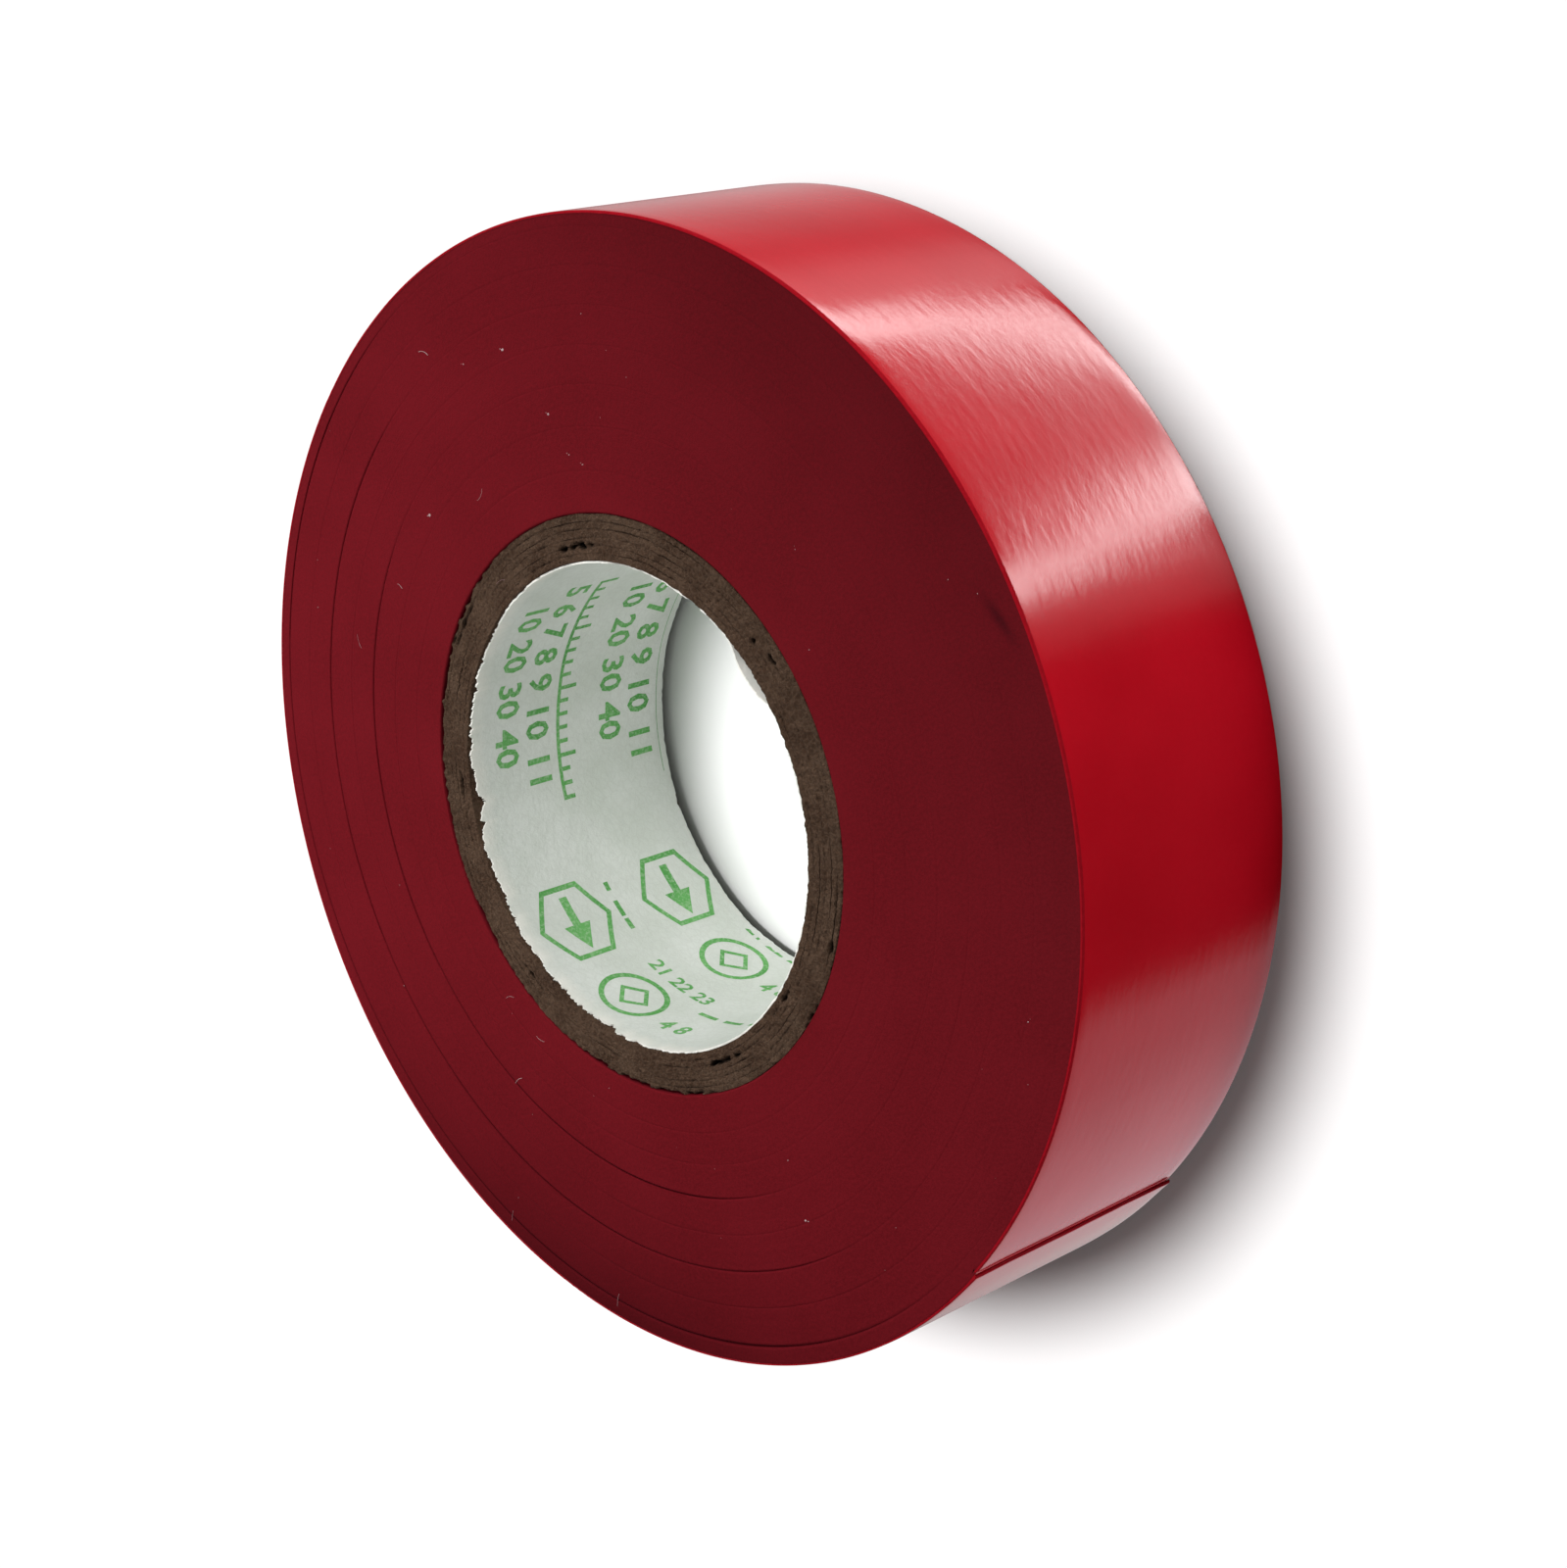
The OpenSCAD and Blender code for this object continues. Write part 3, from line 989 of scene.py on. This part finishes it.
# ---------------------------------------------------------------- floor and light
def add_floor():
    """A plain pale floor, which throws back less light than the camera sees."""
    mesh = bpy.data.meshes.new("floor")
    bm = bmesh.new()
    bmesh.ops.create_grid(bm, x_segments=1, y_segments=1, size=4)
    bmesh.ops.translate(bm, vec=(0, 0, -0.01 * MM), verts=bm.verts)
    bm.to_mesh(mesh)
    bm.free()
    floor = bpy.data.objects.new("floor", mesh)
    bpy.context.scene.collection.objects.link(floor)
    material, n, shader, where = new_material("plain floor", Roughness=1.0, Specular_IOR_Level=0.0)
    seen = n.add("ShaderNodeLightPath").outputs["Is Camera Ray"]
    n.link(n.mix(seen, FLOOR_LIT, FLOOR_SEEN), shader, "Base Color")
    mesh.materials.append(material)
    floor.visible_glossy = False
    return floor


def add_lamp(name, kind, azimuth, elevation, distance, power, size):
    """A lamp aimed at the part, from angles in degrees. Its size is in metres, or an angle for a sun."""
    data = bpy.data.lights.new(name, kind)
    data.energy = power
    data.specular_factor = 0.1
    if kind == "SUN":
        data.angle = size
    else:
        data.shape = "DISK"
        data.size = size
    lamp = bpy.data.objects.new(name, data)
    az, el = math.radians(azimuth), math.radians(elevation)
    way = Vector((math.cos(az) * math.cos(el), math.sin(az) * math.cos(el), math.sin(el)))
    turn = way.to_track_quat("Z", "Y").to_matrix().to_4x4()
    lamp.matrix_world = Matrix.Translation(way * distance) @ turn
    bpy.context.scene.collection.objects.link(lamp)
    return lamp


def link_light(lamp, objects, state):
    """Limits a lamp to some objects, or keeps it off them."""
    group = bpy.data.collections.new(lamp.name + " receivers")
    lamp.light_linking.receiver_collection = group
    for obj in objects:
        group.objects.link(obj)
    for entry in group.collection_objects:
        entry.light_linking.link_state = state


def add_light(floor):
    """A sun for the floor's shadow alone, softboxes for the outside, and fills for the bore alone."""
    inside = [o for o in bpy.data.objects if o.name in ("printed_liner", "liner_print")]
    key = add_lamp("key for the floor", "SUN", azimuth=124, elevation=76.5, distance=1.0, power=3.45,
                   size=math.radians(22))
    link_light(key, [floor], "INCLUDE")
    front = add_lamp("front softbox", "AREA", azimuth=63, elevation=25, distance=0.8, power=6.9, size=0.5)
    side = add_lamp("side softbox", "AREA", azimuth=-75, elevation=16, distance=0.8, power=1.5, size=0.5)
    top = add_lamp("top softbox", "AREA", azimuth=165, elevation=60, distance=0.17, power=0.20, size=0.12)
    for lamp in (front, side, top):
        link_light(lamp, [floor] + inside, "EXCLUDE")
    first = add_lamp("first fill for the bore", "AREA", azimuth=60, elevation=52, distance=0.8, power=6.2,
                     size=0.5)
    second = add_lamp("second fill for the bore", "AREA", azimuth=-70, elevation=52, distance=0.8, power=2.2,
                      size=0.5)
    for lamp in (first, second):
        link_light(lamp, inside, "INCLUDE")


def softbox(n, azimuth, up, edge, lean, width, low_spread, high_spread):
    """A tall box that leans with its height, and fades on its low and its high side over a spread."""
    crisp = 1.2  # how far each side reaches inwards
    low = n.plus(n.times(up, lean), edge)
    high = n.plus(low, width)
    rise = n.span(azimuth, n.math("SUBTRACT", low, low_spread), n.plus(low, crisp))
    fall = n.span(azimuth, n.math("SUBTRACT", high, crisp), n.plus(high, high_spread), 1.0, 0.0)
    return n.times(rise, fall)


def two_softboxes(n, azimuth, elevation):
    """Two tall softboxes, with soft light low down between them and beside the first."""
    foot_a, foot_b, tall = 50.8, 49.2, 3.2
    up_a = n.math("MAXIMUM", n.math("MINIMUM", n.plus(elevation, foot_a), 3.4), -0.6)
    up_b = n.math("MINIMUM", n.plus(elevation, foot_b), 3.6)
    box_a = softbox(n, azimuth, up_a, edge=23.8, lean=-2.7, width=7.4, low_spread=1.5,
                    high_spread=n.span(up_a, 0.0, tall, 14.0, 1.5))
    box_b = softbox(n, azimuth, up_b, edge=69.0, lean=2.6, width=n.span(up_b, 0.0, tall, 9.6, 8.2),
                    low_spread=n.span(up_b, 0.0, tall, 10.0, 3.0), high_spread=2.5)
    level_a = n.span(up_a, 0.0, tall, 8.6, 7.2)
    level_b = n.span(up_b, 0.0, tall, 7.2, 6.6)
    boxes = n.plus(n.times(box_a, level_a), n.times(box_b, level_b))
    inner = n.times(n.span(azimuth, 20.0, 34.0), n.span(azimuth, 62.0, 76.0, 1.0, 0.0))
    inner_level = n.span(elevation, -50.2, -46.9, 1.9, 0.35)
    boxes = n.plus(boxes, n.times(inner, inner_level))
    skirt = n.times(n.span(azimuth, 0.0, 18.0, 0.0, 0.9), n.span(azimuth, 20.0, 30.0, 1.0, 0.0))
    return n.plus(boxes, skirt)


def rosy_wall(n, azimuth, elevation, rosy):
    """A rosy wall on one side, which fades towards the front and the back."""
    bright = 0.62
    wall = n.plus(n.times(rosy, bright), n.span(azimuth, -112.0, -76.0, 0.28, 0.0))
    wall = n.times(wall, n.span(azimuth, -190.0, -125.0, 0.28, 1.0))
    return n.times(wall, n.span(elevation, -48.5, -41.5, 1.14, 0.84))


def far_wall(n, azimuth):
    """A plain wall past the second softbox, which dips and rises again before the back."""
    near = n.times(n.span(azimuth, 84.0, 90.0, 0.0, 0.85), n.span(azimuth, 92.0, 112.0, 1.0, 0.22))
    far = n.plus(near, n.span(azimuth, 104.0, 150.0, 0.0, 0.34))
    return n.times(far, n.span(azimuth, 152.0, 168.0, 1.0, 0.35))


def gloss_group():
    """What the film mirrors, by angles in degrees: softboxes and walls below, and a plain room above."""
    tree, n, given, out = new_group("room seen in the gloss", [
        ("Azimuth", "NodeSocketFloat", 0.0),
        ("Elevation", "NodeSocketFloat", 0.0)],
        [("Level", "NodeSocketFloat"), ("Rosy", "NodeSocketFloat")])
    azimuth, elevation = given["Azimuth"], given["Elevation"]
    boxes = two_softboxes(n, azimuth, elevation)
    rosy = n.span(azimuth, -76.0, -64.0, 1.0, 0.0)
    walls = n.plus(rosy_wall(n, azimuth, elevation, rosy), far_wall(n, azimuth))
    reach = n.times(n.span(elevation, -60.0, -55.0), n.span(elevation, -41.0, -36.5, 1.0, 0.0))
    sides = n.times(n.plus(boxes, walls), reach)
    back_at, room_level = 120.0, 0.28
    back = n.span(n.math("ABSOLUTE", n.plus(azimuth, back_at)), 9.0, 15.0, 1.6, 0.0)
    room = n.times(n.plus(back, room_level), n.span(elevation, -36.0, -28.0))
    n.link(n.plus(sides, room), out, "Level")
    tinted = n.times(rosy, n.span(azimuth, -150.0, -130.0))
    n.link(n.times(tinted, n.span(elevation, -43.0, -38.0, 1.0, 0.0)), out, "Rosy")
    return tree


def add_world():
    """White to the camera, plain soft light on the part, and a room for its gloss."""
    soft_level = 0.18
    world = bpy.data.worlds.new("studio")
    bpy.context.scene.world = world
    world.use_nodes = True
    n = Nodes(world.node_tree)
    path = n.add("ShaderNodeLightPath").outputs
    way = n.add("ShaderNodeSeparateXYZ", {0: n.add("ShaderNodeTexCoord").outputs["Generated"]}).outputs
    azimuth = n.times(n.math("ARCTAN2", way[1], way[0]), 180 / math.pi)
    elevation = n.times(n.math("ARCSINE", way[2]), 180 / math.pi)
    room = use(n, gloss_group(), {"Azimuth": azimuth, "Elevation": elevation})
    rosy = n.times(room["Rosy"], path["Is Glossy Ray"])
    tint = n.mix(rosy, PLAIN_LIGHT, ROSY_LIGHT)
    level = n.between(path["Is Glossy Ray"], soft_level, room["Level"])
    level = n.between(path["Is Camera Ray"], level, 1.0)
    back = n.add("ShaderNodeBackground", {"Color": tint, "Strength": level})
    n.link(back.outputs[0], n.add("ShaderNodeOutputWorld"), "Surface")


# ---------------------------------------------------------------- the scene
add_camera()
liner()
liner_print()
for i in range(PLY_COUNT):
    ply(i)
for i in range(BAND_COUNT):
    band(i)
last_turn()
free_end()
dust()
add_light(add_floor())
add_world()
bpy.context.scene.view_settings.view_transform = "Standard"
